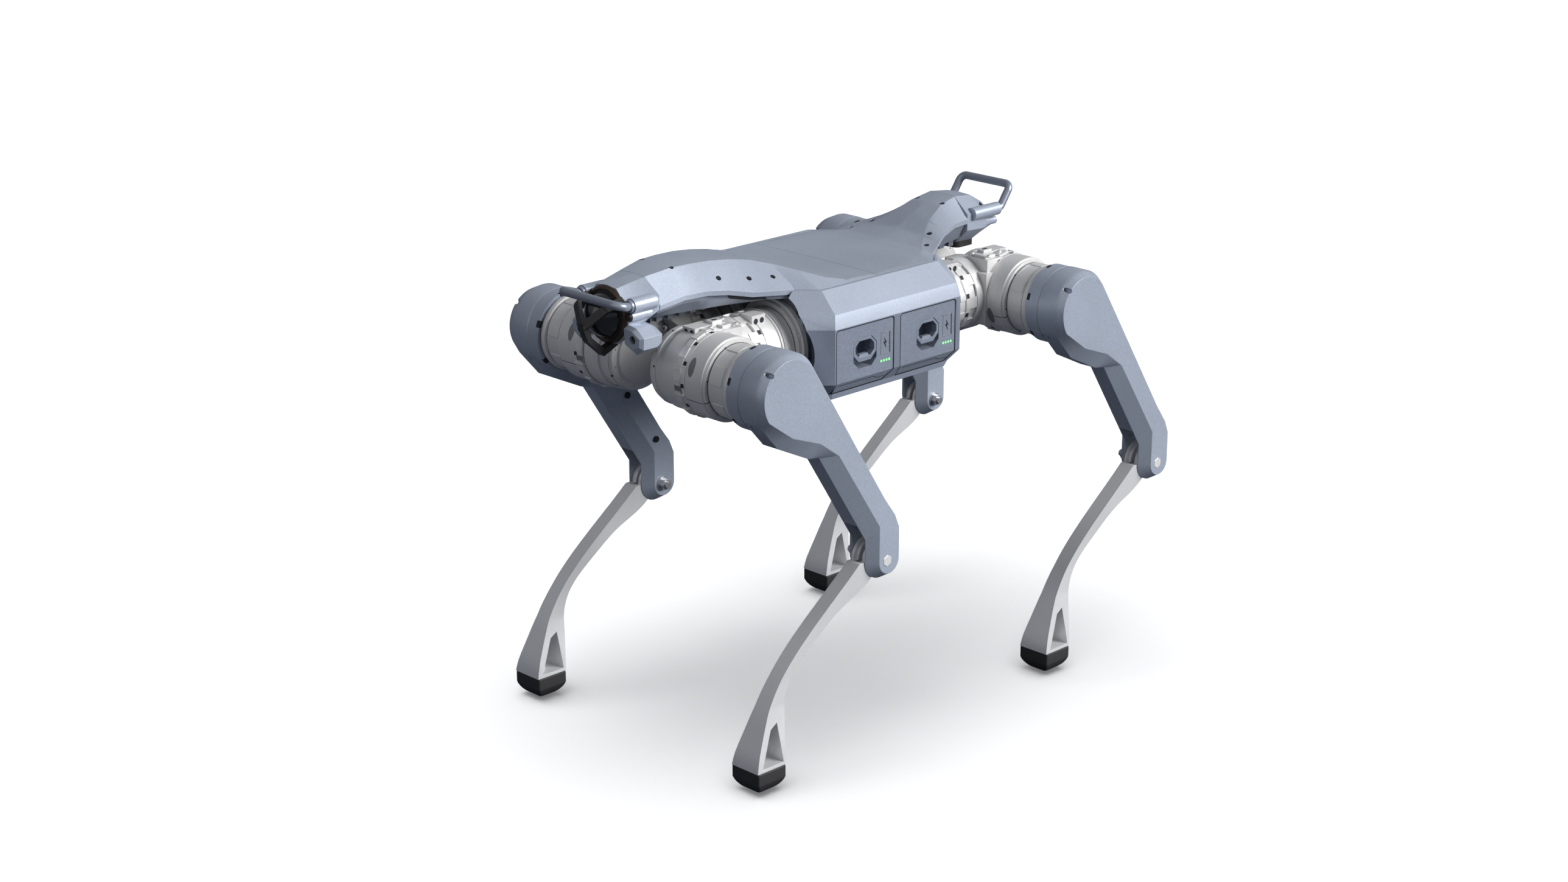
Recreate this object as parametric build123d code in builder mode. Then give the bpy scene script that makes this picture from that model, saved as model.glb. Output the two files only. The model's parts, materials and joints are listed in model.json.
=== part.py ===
"""Four-legged walking robot, modelled in millimetres.

Frame: +X forward, +Y to the robot's left, +Z up, floor at Z = 0, origin under
the middle of the robot's own length.  The legs stand with the knees bent back.
Leg pieces are drawn once, for the front left leg, about its thigh axis, and
then mirrored and moved to the four corners.
"""
import os
from math import cos, radians, sin

from build123d import *

# ---------------------------------------------------------------- stance
mid_x = 32.4            # half way between the front and rear thigh axes
hip_z = 488.5           # height of the hip and thigh axes
thigh_x = 262.9         # thigh axis, ahead of and behind mid_x
hip_y = 50.0            # roll axis of each hip motor
leg_y = 201.0           # middle plane of a leg
link = 290.0            # thigh axis to knee, and knee to foot centre
thigh_angle = 33.7      # thigh behind the vertical
calf_angle = 41.483     # calf ahead of the vertical
foot_radius = 30.0

knee = (-link * sin(radians(thigh_angle)), -link * cos(radians(thigh_angle)))
ankle = (knee[0] + link * sin(radians(calf_angle)), knee[1] - link * cos(radians(calf_angle)))
ground = -hip_z         # floor, seen from the thigh axis

# ---------------------------------------------------------------- trunk
deck_z = 562.7          # top edge of the casing
belly_z = 432.5
side_y = 145.7          # flat side face of the casing
side_top_z = 520.0      # where the side face turns in to the deck
end_x = 119.0           # end plates, ahead of and behind mid_x
wall = 3.0
arch_radius = 78.0      # openings round the hip motors in the casing's cheeks
fit_gap = 0.4

bay_width, bay_bottom, bay_top = 102.0, 439.0, 520.3
bay_centres = {"front": mid_x + 59.2, "rear": mid_x - 53.0}
pack_depth = 188.0
pack_cut = 13.0         # cut lower rear corner of each pack
casing_cut = 20.0       # cut lower rear corner of the casing
bevel_z = 453.0         # below this the side face leans in
sill_y = 137.0          # side of the casing under the bevel

# ---------------------------------------------------------------- motors
drum_radius = 50.0
hip_drum_radius = 48.8
neck_radius = 45.0
neck_end_y = 164.5
spigot_radius = 30.0
spindle_radius = 8.0
running_gap = 0.05      # radial clearance of shafts that turn

# ---------------------------------------------------------------- legs
inner_face_y, seam_y, outer_face_y = 176.0, 197.0, 226.0
taper_end_y = 189.0     # the shell's edges slope in from here to its inner face
slot_half = 11.0        # half the gap between the two knee cheeks
bolt_radius = 4.0
crank_radius = 19.0     # knee crank and knee lever
crank_rest = 107.9      # lever angle from the thigh's own line, at rest
rod_half_width, rod_thickness = 3.0, 5.0
rod_pin_radius = 2.5

corners = {"fl": (1, 1), "fr": (1, -1), "rl": (-1, 1), "rr": (-1, -1)}

os.makedirs("parts", exist_ok=True)


def save(part, name):
    """Label a finished piece and write its STEP file."""
    part.label = name
    export_step(part, f"parts/{name}.step")


# ------------------------------------------------------- small shape helpers
def disc_y(x, z, radius, y_from, y_to, mode=Mode.ADD):
    with BuildSketch(Plane.XZ.offset(-y_from)) as disc:
        with Locations((x, z)):
            Circle(radius)
    extrude(disc.sketch, amount=y_from - y_to, mode=mode)


def disc_x(y, z, radius, x_from, x_to, mode=Mode.ADD):
    with BuildSketch(Plane.YZ.offset(x_from)) as disc:
        with Locations((y, z)):
            Circle(radius)
    extrude(disc.sketch, amount=x_to - x_from, mode=mode)


def disc_z(x, y, radius, z_from, z_to, mode=Mode.ADD):
    with BuildSketch(Plane.XY.offset(z_from)) as disc:
        with Locations((x, y)):
            Circle(radius)
    extrude(disc.sketch, amount=z_to - z_from, mode=mode)


def block(x_span, y_span, z_span, mode=Mode.ADD):
    with BuildSketch(Plane.XY.offset(z_span[0])) as base:
        with Locations((sum(x_span) / 2, sum(y_span) / 2)):
            Rectangle(x_span[1] - x_span[0], y_span[1] - y_span[0])
    extrude(base.sketch, amount=z_span[1] - z_span[0], mode=mode)


def prism_y(outline, y_from, y_to, mode=Mode.ADD):
    """A closed (x, z) outline, extruded from one y station to another."""
    with BuildSketch(Plane.XZ.offset(-y_from)) as face:
        with BuildLine():
            Polyline(*outline, close=True)
        make_face()
    extrude(face.sketch, amount=y_from - y_to, mode=mode)


def prism_x(outline, x_from, x_to, mode=Mode.ADD):
    """A closed (y, z) outline, extruded from one x station to another."""
    with BuildSketch(Plane.YZ.offset(x_from)) as face:
        with BuildLine():
            Polyline(*outline, close=True)
        make_face()
    extrude(face.sketch, amount=x_to - x_from, mode=mode)


def prism_z(outline, z_from, z_to, mode=Mode.ADD):
    """A closed (x, y) outline, extruded from one height to another."""
    with BuildSketch(Plane.XY.offset(z_from)) as face:
        with BuildLine():
            Polyline(*outline, close=True)
        make_face()
    extrude(face.sketch, amount=z_to - z_from, mode=mode)


def x_loft(stations, mode=Mode.ADD):
    """Ruled skin through (x, closed (y, z) outline) stations."""
    sections = []
    for x, outline in stations:
        with BuildSketch(Plane.YZ.offset(x)) as section:
            with BuildLine():
                Polyline(*outline, close=True)
            make_face()
        sections.append(section.sketch)
    loft(sections, ruled=True, mode=mode)


def arc_points(centre, radius, start, stop, steps=8):
    """Points along an arc, angles in degrees."""
    angles = [start + (stop - start) * i / steps for i in range(steps + 1)]
    return [(centre[0] + radius * cos(radians(a)), centre[1] + radius * sin(radians(a)))
            for a in angles]


def both_sides(half):
    """Close a half outline, listed from the middle top down the +Y side."""
    return half + [(-y, z) for y, z in reversed(half) if y > 0]


def tube_path(points, radius, tube_radius):
    """A round tube along straight runs joined by equal bends."""
    with BuildLine() as path:
        FilletPolyline(*points, radius=radius)
    with BuildSketch(Plane(path.line @ 0, z_dir=path.line % 0)) as section:
        Circle(tube_radius)
    sweep(section.sketch, path=path.line)


# ---------------------------------------------------------------- trunk frame
rail_z = (543.5, 551.0)
rail_half = 25.0
tooth = 9.0
spine_z = (522.0, 530.0)
plate_half = 104.0
front_reach, rear_reach = 300.0, 232.0   # rail ends, from mid_x


def trunk_frame():
    with BuildPart() as frame:
        block((mid_x - end_x + 6, mid_x + end_x - 6), (-96, 96), spine_z)
        for end in (1, -1):
            plate = sorted((mid_x + end * (end_x - 6), mid_x + end * end_x))
            block(plate, (-plate_half, plate_half), (belly_z + wall, side_top_z))
            block(plate, (-86, 86), (side_top_z, rail_z[1]))
            reach = front_reach if end > 0 else rear_reach
            rail = sorted((mid_x + end * end_x, mid_x + end * reach))
            block(rail, (-rail_half, rail_half), rail_z)
            # square teeth along both edges of the rail
            count = int((rail[1] - rail[0]) // (2 * tooth))
            for i in range(count):
                x = rail[0] + tooth * (2 * i + 1)
                for side in (1, -1):
                    edge = sorted((side * (rail_half - 5), side * (rail_half + 1)))
                    block((x, x + tooth), edge, rail_z, mode=Mode.SUBTRACT)
            # cable hole behind each hip motor, and lightening holes in the rail
            for side in (1, -1):
                disc_x(side * hip_y, hip_z, 22.0, plate[0] - 1, plate[1] + 1, Mode.SUBTRACT)
            for share in (0.3, 0.6):
                x = mid_x + end * (end_x + share * (reach - end_x))
                disc_z(x, 0, 11.0, rail_z[0] - 1, rail_z[1] + 1, Mode.SUBTRACT)
    return frame.part


# ---------------------------------------------------------------- casing
def octagon(x_end, x_face, y_end, y_face):
    quarter = [(x_end, y_end), (x_face, y_face)]
    half = quarter + [(-x, y) for x, y in reversed(quarter)]
    return [(mid_x + x, y) for x, y in half + [(x, -y) for x, y in reversed(half)]]


def casing_skin():
    """Heights and octagons of the outer surface, from the belly to the deck."""
    wide = octagon(158.0, 112.0, 99.7, side_y)
    sill = octagon(150.0, 108.0, 95.0, sill_y)
    return [(belly_z, sill), (bay_bottom, sill), (bevel_z, wide), (side_top_z + 1, wide),
            (538.5, octagon(153.5, 107.5, 95.0, 141.0)), (deck_z, octagon(128.0, 103.0, 89.0, 114.0))]


def battery_housing():
    skin_levels = casing_skin()
    with BuildPart() as housing:
        for z, outline in skin_levels:
            with BuildSketch(Plane.XY.offset(z)):
                with BuildLine():
                    Polyline(*outline, close=True)
                make_face()
        loft(ruled=True)
        # hollow inside: open under the deck, open at both ends
        prism_z(octagon(end_x, 110.8, 134.5, side_y - wall), bevel_z, side_top_z + 1,
                mode=Mode.SUBTRACT)
        prism_z(octagon(end_x, 105.0, 119.5, sill_y - wall), belly_z - 1, bevel_z,
                mode=Mode.SUBTRACT)
        prism_z(octagon(123.5, 103.0, 88.7, 109.2), side_top_z, deck_z + 1, mode=Mode.SUBTRACT)
        for end in (1, -1):
            outside = sorted((mid_x + end * end_x, mid_x + end * 170))
            block(outside, (-89.5, 89.5), (belly_z - 1, deck_z + 1), mode=Mode.SUBTRACT)
            for side in (1, -1):
                disc_x(side * (hip_y + 0.4), hip_z, arch_radius, *outside, mode=Mode.SUBTRACT)
            # rib under the deck that ties the two sides together
            rib = sorted((mid_x + end * 98, mid_x + end * 110))
            block(rib, (-110, 110), (532, 542))
        # two battery bays, open to the left
        for centre in bay_centres.values():
            prism_y(bay_outline(centre, 0.0), side_y - 26, side_y + 1, mode=Mode.SUBTRACT)
        # cut lower corner at the rear end of each side
        rear = mid_x - 112.0
        for side in (1, -1):
            y_span = sorted((side * 98, side * 150))
            prism_y([(rear - 50, belly_z - 1), (rear + casing_cut, belly_z - 1),
                     (rear, belly_z + casing_cut), (rear - 50, belly_z + casing_cut)],
                    *y_span, mode=Mode.SUBTRACT)
    return housing.part


def bay_outline(centre, gap):
    """A battery bay in (x, z), with its cut lower rear corner; gap shrinks it."""
    x0, x1 = centre - bay_width / 2 + gap, centre + bay_width / 2 - gap
    z0, z1 = bay_bottom + gap, bay_top - gap
    return [(x0, z0 + pack_cut), (x0 + pack_cut, z0), (x1, z0), (x1, z1 - 3), (x1 - 3, z1),
            (x0 + 3, z1), (x0, z1 - 3)]


def belly_plate():
    with BuildPart() as plate:
        half = sill_y - wall - fit_gap
        block((mid_x - 112.6, mid_x + 112.6), (-half + 12, half - 12), (belly_z, belly_z + wall))
        with Locations(*[(mid_x + sx * 98, sy * 100, belly_z) for sx in (1, -1) for sy in (1, -1)]):
            Cylinder(2.2, 20, mode=Mode.SUBTRACT)
    return plate.part


# ---------------------------------------------------------------- batteries
pocket = (40.4, 38.0)         # width and height of the grip pocket
pocket_z = 484.0
pocket_depth = 24.0
latch_height = 29.5
mark_offset = -36.0           # charge mark and lights, behind the pocket


def rectangle_cut(centre, size, cut, y_from, y_to, mode):
    """Rectangle with cut corners in an XZ plane, extruded along Y."""
    w, h = size[0] / 2, size[1] / 2
    corner = [(w - cut, h), (w, h - cut), (w, cut - h), (w - cut, -h)]
    outline = corner + [(-x, z) for x, z in reversed(corner)]
    prism_y([(centre[0] + x, centre[1] + z) for x, z in outline], y_from, y_to, mode)


def battery_pack(bay):
    centre = bay_centres[bay]
    face, back = side_y - 0.7, side_y - pack_depth
    z1 = bay_top - fit_gap
    with BuildPart() as pack:
        prism_y(bay_outline(centre, fit_gap), back, face)
        # lower edge leans in like the casing
        prism_x([(face + 1, bevel_z), (face, bevel_z), (sill_y - 0.7, bay_bottom),
                 (sill_y - 0.7, bay_bottom - 1), (face + 1, bay_bottom - 1)],
                centre - bay_width, centre + bay_width, mode=Mode.SUBTRACT)
        rectangle_cut((centre, pocket_z), pocket, 9, side_y - pocket_depth, side_y + 1,
                      Mode.SUBTRACT)
        # shallow window for the charge mark and a row of four charge lights
        rectangle_cut((centre + mark_offset, 488.6), (17.0, 27.6), 2, side_y - 1.4, side_y,
                      Mode.SUBTRACT)
        for i in range(4):
            disc_y(centre + mark_offset - 7.0 + 4.7 * i, 466.5, 1.5, side_y - 2.0, side_y,
                   Mode.SUBTRACT)
        # guide grooves along the top and plug socket in the back
        for x in (centre - 30, centre + 30):
            block((x - 3, x + 3), (back - 1, side_y - 24), (z1 - 3, z1 + 1), mode=Mode.SUBTRACT)
        block((centre - 18, centre + 18), (back - 1, back + 8), (470, 492), mode=Mode.SUBTRACT)
    return pack.part


def battery_latch(bay):
    """Finger frame at the top of the pocket; it slides down to free the pack."""
    centre = bay_centres[bay]
    width = pocket[0] - 1.0
    z = pocket_z + pocket[1] / 2 - 0.5 - latch_height / 2
    with BuildPart() as latch:
        rectangle_cut((centre, z), (width, latch_height), 9, side_y - 9, side_y - 0.9, Mode.ADD)
        rectangle_cut((centre, z + 1.0), (width - 7, latch_height - 9), 6.5, side_y - 10, side_y,
                      Mode.SUBTRACT)
        # raised lip in the middle of the lower edge
        low = z - latch_height / 2
        prism_y([(centre - 11, low + 2), (centre + 11, low + 2), (centre + 7, low + 8.5),
                 (centre - 7, low + 8.5)], side_y - 9, side_y - 3)
    return latch.part


# ---------------------------------------------------------------- top covers
# Stations along the trunk, each: distance from mid_x, middle height,
# shoulder (y, z), side ridge (y, z).  The lip hangs below the ridge.
front_stations = [
    (0.3, 564.5, (104.0, 563.6), (108.6, 562.7)),
    (50, 565.5, (102.0, 565.6), (108.6, 562.7)),
    (75, 571.0, (94.0, 570.6), (108.6, 562.7)),
    (102, 581.2, (70.0, 580.5), (107.5, 562.7)),
    (123, 588.4, (47.5, 587.8), (87.0, 562.7)),
    (150, 596.5, (36.8, 595.8), (85.0, 566.0)),
    (180, 602.2, (34.5, 601.3), (75.0, 568.0)),
    (210, 605.8, (32.5, 604.8), (66.0, 574.5)),
    (240, 607.4, (30.0, 606.0), (60.0, 578.0)),
    (270, 606.8, (27.3, 605.8), (53.5, 577.0)),
    (304.6, 601.6, (21.6, 600.6), (48.0, 570.5)),
]
rear_stations = [
    (0.3, 564.5, (104.0, 563.6), (108.6, 562.7)),
    (60, 564.0, (100.0, 563.6), (108.6, 562.7)),
    (102, 566.2, (84.0, 564.6), (107.5, 562.7)),
    (123, 569.2, (68.0, 567.0), (87.0, 563.0)),
    (150, 576.5, (46.0, 574.5), (74.0, 571.0)),
    (175, 590.0, (32.0, 588.0), (61.0, 577.0)),
    (205, 603.0, (25.0, 601.0), (52.0, 581.5)),
    (236, 609.0, (21.6, 607.5), (46.0, 581.0)),
]
lip_drop = 6.0
skin = 2.6


def cover_outline(station, end, grow=0.0):
    """Closed channel section; grow < 0 gives the inside."""
    distance, middle, shoulder, ridge = station
    x = mid_x + end * distance
    drop = lip_drop if grow == 0 else lip_drop + 30
    half = [(0, middle + grow), (shoulder[0] + grow * 0.6, shoulder[1] + grow),
            (ridge[0] + grow, ridge[1] + grow * 0.6), (ridge[0] + grow - 1, ridge[1] - drop)]
    return x, both_sides(half)


def top_cover(stations, end):
    with BuildPart() as cover:
        x_loft([cover_outline(s, end) for s in stations])
        inside = [cover_outline(s, end, -skin) for s in stations]
        inside[0] = (inside[0][0] - end * 0.2, inside[0][1])
        inside[-1] = (inside[-1][0] + end * 0.2, inside[-1][1])
        x_loft(inside, mode=Mode.SUBTRACT)
        own = [place for place in screw_places if place[1] == end]
        drill(own, 3.5, 1.5)
        drill(own, 1.7, 12)
    return cover.part


def under_cover(stations, end, floor_z):
    """Closed keel under a top cover, from the casing's end to the nose or tail."""
    inset = skin + 1.2
    outer, inner = [], []
    for distance, middle, shoulder, ridge in stations:
        if distance < 123:
            continue
        x = mid_x + end * max(distance, 129.0)
        top = (ridge[0] - inset - 1, ridge[1] - lip_drop + 1)
        half = [(0, top[1]), top, (ridge[0] - 6, ridge[1] - 11), (ridge[0] - 14, floor_z)]
        outer.append((x, both_sides(half)))
        half = [(0, top[1] + 9), (top[0] - skin, top[1] + 9), (ridge[0] - 9, ridge[1] - 11),
                (ridge[0] - 16.5, floor_z + skin)]
        inner.append((x, both_sides(half)))
    inner[0] = (inner[0][0] - end * 0.2, inner[0][1])
    inner[-1] = (inner[-1][0] + end * 0.2, inner[-1][1])
    with BuildPart() as keel:
        x_loft(outer)
        x_loft(inner, mode=Mode.SUBTRACT)
    return keel.part


# ---------------------------------------------------------------- head and tail
lidar_z = 559.0
lidar_radius = 30.0
dome_radius = 27.4
ring_radius = 36.5
nose_x = 345.0                      # front ring plane, from mid_x
handle_y, front_handle_z = 43.0, 577.0
tube_radius = 5.6


def octagon_ring(radius_y, radius_z, centre_z, narrow_top):
    """Ten sided section used at the head's two ends."""
    half = [(0, centre_z + radius_z), (narrow_top, centre_z + radius_z * 0.96),
            (radius_y, centre_z + radius_z * 0.32), (radius_y, centre_z - radius_z * 0.35),
            (radius_y * 0.55, centre_z - radius_z * 0.93), (0, centre_z - radius_z)]
    return half + [(-y, z) for y, z in reversed(half[1:-1])]


def head_cap():
    back, front = mid_x + 305.0, mid_x + nose_x
    with BuildPart() as cap:
        x_loft([(back, octagon_ring(47.0, 27.0, 574.5, 21.6)),
                (back + 20, octagon_ring(42.0, 32.0, 566.0, 19.0)),
                (front, octagon_ring(37.5, 35.0, lidar_z, 17.0))])
        for side in (1, -1):
            # socket for the handle tube, and the lug under it that the guard bolts to
            disc_x(side * handle_y, front_handle_z, 9.0, back + 6, front + 1)
            disc_x(side * 40.0, 563.5, 6.5, back + 10, front + 1)
        disc_x(0, lidar_z, lidar_radius + 1, front - 28, front + 2, Mode.SUBTRACT)
        block((back - 1, front - 32), (-30, 30), (556, 592), mode=Mode.SUBTRACT)
        for side in (1, -1):
            disc_x(side * handle_y, front_handle_z, tube_radius, front - 18, front + 2,
                   Mode.SUBTRACT)
    return cap.part


def tail_cap():
    front, back = mid_x - 236.4, mid_x - 296.0
    with BuildPart() as cap:
        x_loft([(front, octagon_ring(45.0, 32.0, 577.0, 21.6)),
                (front - 32, octagon_ring(43.0, 31.0, 574.5, 20.0)),
                (back, octagon_ring(36.0, 20.0, 571.0, 15.0))])
        for side in (1, -1):
            disc_x(side * rear_handle_y, rear_handle_z, 8.5, back - 1, front - 10)
            disc_x(side * 36.0, 569.0, 5.5, back - 3, front - 12)
        block((back + 8, front + 1), (-30, 30), (558, 592), mode=Mode.SUBTRACT)
        for side in (1, -1):
            disc_x(side * rear_handle_y, rear_handle_z, tube_radius, back - 2, back + 18,
                   Mode.SUBTRACT)
    return cap.part


rear_handle_y, rear_handle_z = 42.5, 585.5


def front_handle():
    socket = mid_x + nose_x - 16
    bar = mid_x + 372.5
    with BuildPart() as handle:
        tube_path([(socket, -handle_y, front_handle_z), (mid_x + 350, -handle_y, front_handle_z),
                   (bar, -58, front_handle_z + 6), (bar, 58, front_handle_z + 6),
                   (mid_x + 350, handle_y, front_handle_z), (socket, handle_y, front_handle_z)],
                  9.0, tube_radius - fit_gap)
    return handle.part


def rear_handle():
    socket = mid_x - 280.0
    bend, top = mid_x - 303.0, mid_x - 323.0
    with BuildPart() as handle:
        tube_path([(socket, -rear_handle_y, rear_handle_z), (bend, -rear_handle_y, rear_handle_z),
                   (top, -rear_handle_y, 613.0), (top, rear_handle_y, 613.0),
                   (bend, rear_handle_y, rear_handle_z), (socket, rear_handle_y, rear_handle_z)],
                  9.0, tube_radius - fit_gap)
    return handle.part


def front_lidar():
    """Spinning range finder: round base with a domed window ahead of it."""
    front = mid_x + nose_x
    with BuildPart() as lidar:
        disc_x(0, lidar_z, lidar_radius, front - 27, front + 3)
        with Locations((front, 0, lidar_z)):
            Sphere(dome_radius, rotation=(0, 90, 0))
    return lidar.part


def rear_lidar(tail):
    with BuildPart() as lidar:
        block((mid_x - 275, mid_x - 240), (-24, 24), (538.0, 546.5))
        fillet(lidar.edges().filter_by(Axis.Z), 8)
        add(tail, mode=Mode.SUBTRACT)
    return lidar.part


def lidar_guard(head):
    """Three flat arms that meet ahead of the dome."""
    front = mid_x + nose_x
    meet = (front + 39, 0.0, 549.5)
    outer = [(front - 12, 520.0), (front + 10, 510.5), (front + 34, 532.0), (front + 41, 549.0)]
    inner = [(front + 35, 551.0), (front + 28, 536.0), (front + 9, 519.5), (front - 12, 527.0)]
    with BuildPart() as guard:
        prism_y(outer + inner, -5.0, 5.0)
        disc_x(0, meet[2], 5.6, front + 34.5, front + 41)
        for side in (1, -1):
            # up and out from the meeting point, then back to the nose ring
            path = [(meet[0] - 1, side * 1.0, meet[2] + 1), (front + 25, side * 24.0, 572.5),
                    (front - 1, side * 28.0, 580.0)]
            with BuildLine() as line:
                FilletPolyline(*path, radius=7)
            along = line.line % 0
            across = along.cross(Vector(1, 0, 0))
            with BuildSketch(Plane(line.line @ 0, x_dir=across, z_dir=along)) as section:
                Rectangle(10, 5.5)
            sweep(section.sketch, path=line.line)
        add(head, mode=Mode.SUBTRACT)
    return guard.part


def sensor_pods(head):
    """Two camera blocks below and outside the head."""
    with BuildPart() as pods:
        for side in (1, -1):
            outline = [(36, 553), (50, 551), (63, 541), (62, 527), (50, 519), (38, 526)]
            wide = [(side * y, z) for y, z in outline]
            slim = [(side * (y - 4), 538 + (z - 538) * 0.7) for y, z in outline]
            x_loft([(mid_x + 312, slim), (mid_x + 322, wide), (mid_x + 344, wide),
                    (mid_x + 348, slim)])
            disc_x(side * 47.0, 537.0, 5.0, mid_x + 340, mid_x + 349, Mode.SUBTRACT)
        add(head, mode=Mode.SUBTRACT)
    return pods.part


def sensor_lenses():
    with BuildPart() as lenses:
        for side in (1, -1):
            disc_x(side * 47.0, 537.0, 4.9, mid_x + 340, mid_x + 345)
    return lenses.part


def hip_motors():
    """Four roll motors bolted to the end plates, as four solids."""
    stations = [(end_x + 0.3, end_x + 7, 57.5), (end_x + 7, end_x + 12, 54.0),
                (end_x + 12, 176.0, 48.0), (176.0, 186.0, hip_drum_radius), (186.0, 198.0, 45.5)]
    teeth = 10
    with BuildPart() as motors:
        for end in (1, -1):
            for side in (1, -1):
                for a, b, radius in stations:
                    disc_x(side * hip_y, hip_z, radius, mid_x + end * a, mid_x + end * b)
                # square teeth on the output end
                for i in range(teeth):
                    turn = 360.0 * i / teeth
                    y = side * hip_y + 45.0 * cos(radians(turn))
                    z = hip_z + 45.0 * sin(radians(turn))
                    with Locations(Location((mid_x + end * 191, y, z), (turn, 0, 0))):
                        Box(13, 7, 14)
                # cast lug with two holes that face outward
                lug = sorted((mid_x + end * 162, mid_x + end * 184))
                block(lug, sorted((side * (hip_y + 8), side * (hip_y + 27))),
                      (hip_z + 30, hip_z + 51))
                for x in (167.5, 177.5):
                    outward = sorted((side * (hip_y + 12), side * (hip_y + 28)))
                    disc_y(mid_x + end * x, hip_z + 43.5, 3.6, *outward, Mode.SUBTRACT)
                # shaft that carries the cradle
                disc_x(side * hip_y, hip_z, 14.0, mid_x + end * 197, mid_x + end * 204)
        # flats where neighbouring flanges meet
        block((mid_x - 210, mid_x + 210), (-0.6, 0.6), (hip_z - 60, hip_z + 60),
              mode=Mode.SUBTRACT)
    return motors.part


def control_computer():
    with BuildPart() as computer:
        block((mid_x - 95, mid_x + 95), (-128, -50), (440, 505))
        fins = 9
        for i in range(fins):
            x = mid_x - 84 + 21 * i
            block((x - 4, x + 4), (-122, -58), (497, 506), mode=Mode.SUBTRACT)
    return computer.part


# Screw places on the covers: stations, end, distance from mid_x, and how far
# across: 0 to 1 from the middle to the shoulder, 1 to 2 from there to the ridge.
screw_places = [(front_stations, 1, 267, 0.93), (front_stations, 1, 214, 1.58),
                (front_stations, 1, 172, 1.58), (front_stations, 1, 137, 1.52),
                (rear_stations, -1, 134.5, 1.35), (rear_stations, -1, 158, 1.30),
                (rear_stations, -1, 212, 0.90)]


def screw_planes(places):
    """Planes on the outer skin, normal pointing out, on both sides."""
    planes = []
    for stations, end, distance, across in places:
        after = next(i for i, s in enumerate(stations) if s[0] > distance)
        low, high = stations[after - 1], stations[after]
        share = (distance - low[0]) / (high[0] - low[0])

        def blend(a, b):
            return a + (b - a) * share

        middle = (0.0, blend(low[1], high[1]))
        shoulder = (blend(low[2][0], high[2][0]), blend(low[2][1], high[2][1]))
        ridge = (blend(low[3][0], high[3][0]), blend(low[3][1], high[3][1]))
        a, b = (middle, shoulder) if across <= 1 else (shoulder, ridge)
        along = across if across <= 1 else across - 1
        run, drop = b[0] - a[0], b[1] - a[1]
        y, z = a[0] + run * along, a[1] + drop * along
        for side in (1, -1):
            planes.append(Plane(origin=(mid_x + end * distance, side * y, z), x_dir=(1, 0, 0),
                                z_dir=(0, side * -drop, run)))
    return planes


def drill(places, radius, depth):
    """Cut round recesses square to the skin at the screw places."""
    for plane in screw_planes(places):
        with BuildSketch(plane.offset(-depth)) as hole:
            Circle(radius)
        extrude(hole.sketch, amount=depth + 3, mode=Mode.SUBTRACT)


def cover_screws():
    """Button head screws sunk in the covers' recesses."""
    with BuildPart() as screws:
        for plane in screw_planes(screw_places):
            for radius, near, far in ((3.1, -1.5, -0.3), (1.7, -skin - 2, -1.5)):
                with BuildSketch(plane.offset(near)) as disc:
                    Circle(radius)
                extrude(disc.sketch, amount=far - near)
    return screws.part


# ---------------------------------------------------------------- leg pieces
# All of these are drawn about the front left thigh axis: x and z count from
# the axis, y counts from the robot's own middle plane.
def hip_casting():
    """Cradle that carries the two leg motors and turns on the hip motor."""
    back = 198.8 - thigh_x
    band = (81.5, 98.5)
    with BuildPart() as casting:
        disc_x(hip_y, 0, 48.6, back, back + 28)
        block((back + 12, back + 34), (16, 102), (-34, 34))
        disc_y(0, 0, drum_radius + 1.6, *band)
        # pads between the square windows of the band
        for i in range(12):
            turn = 30 * i + 10
            x, z = (drum_radius + 1.6) * cos(radians(turn)), (drum_radius + 1.6) * sin(radians(turn))
            with Locations(Location((x, 87, z), (0, -turn, 0))):
                Box(3.0, 10, 14)
        # lug with two forward holes, and the bridge from it back to the cradle
        block((-16, 14), (56, 77), (38, 54))
        block((-44, -12), (64, 96), (30, 50))
        block((-40, -20), (66, 88), (50, 53.5))
        for y in (61.5, 71.5):
            disc_x(y, 48.0, 3.6, -2, 16, Mode.SUBTRACT)
        disc_y(0, 0, drum_radius + 0.2, 10, band[0], Mode.SUBTRACT)
        disc_y(0, 0, drum_radius + 1.6, band[1], 140, Mode.SUBTRACT)
        disc_y(0, 0, 34.0, 80, 100, Mode.SUBTRACT)
        disc_x(hip_y, 0, 14.0 + running_gap, back - 1, back + 8, Mode.SUBTRACT)
    return casting.part


def leg_motors():
    """Thigh motor and knee motor, back to back on the thigh axis."""
    thigh_motor = [(30.5, 34, 37.0), (34, 40, 46.5), (40, 44, 48.5), (44, 56, 47.0),
                   (56, 81.3, drum_radius)]
    knee_motor = [(98.7, 126, drum_radius + 1.2), (126, 130, drum_radius - 1),
                  (130, 158, neck_radius), (158, neck_end_y, neck_radius + 1.5)]
    with BuildPart() as motors:
        for y0, y1, radius in thigh_motor:
            disc_y(0, 0, radius, y0, y1)
        for i in range(12):
            angle = radians(30 * i + 15)
            disc_y(42.0 * cos(angle), 42.0 * sin(angle), 1.3, 33, 36, Mode.SUBTRACT)
        for y0, y1, radius in knee_motor:
            disc_y(0, 0, radius, y0, y1)
        # split line and oval recess of the clamped drum
        for x in (-1, 1):
            edge = sorted((x * (drum_radius - 1.5), x * (drum_radius + 3)))
            block(edge, (98, 131), (-19.6, -18.4), mode=Mode.SUBTRACT)
        disc_y(0, 0, spigot_radius + running_gap, 150, neck_end_y + 1, Mode.SUBTRACT)
    return motors.part


hub_y = 167.0                       # inner end of the thigh's round hub
housing_radius = 51.0
upper_bend = (-163.9, -160.5)
lower_bend = (-181.9, -189.5)


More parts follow.
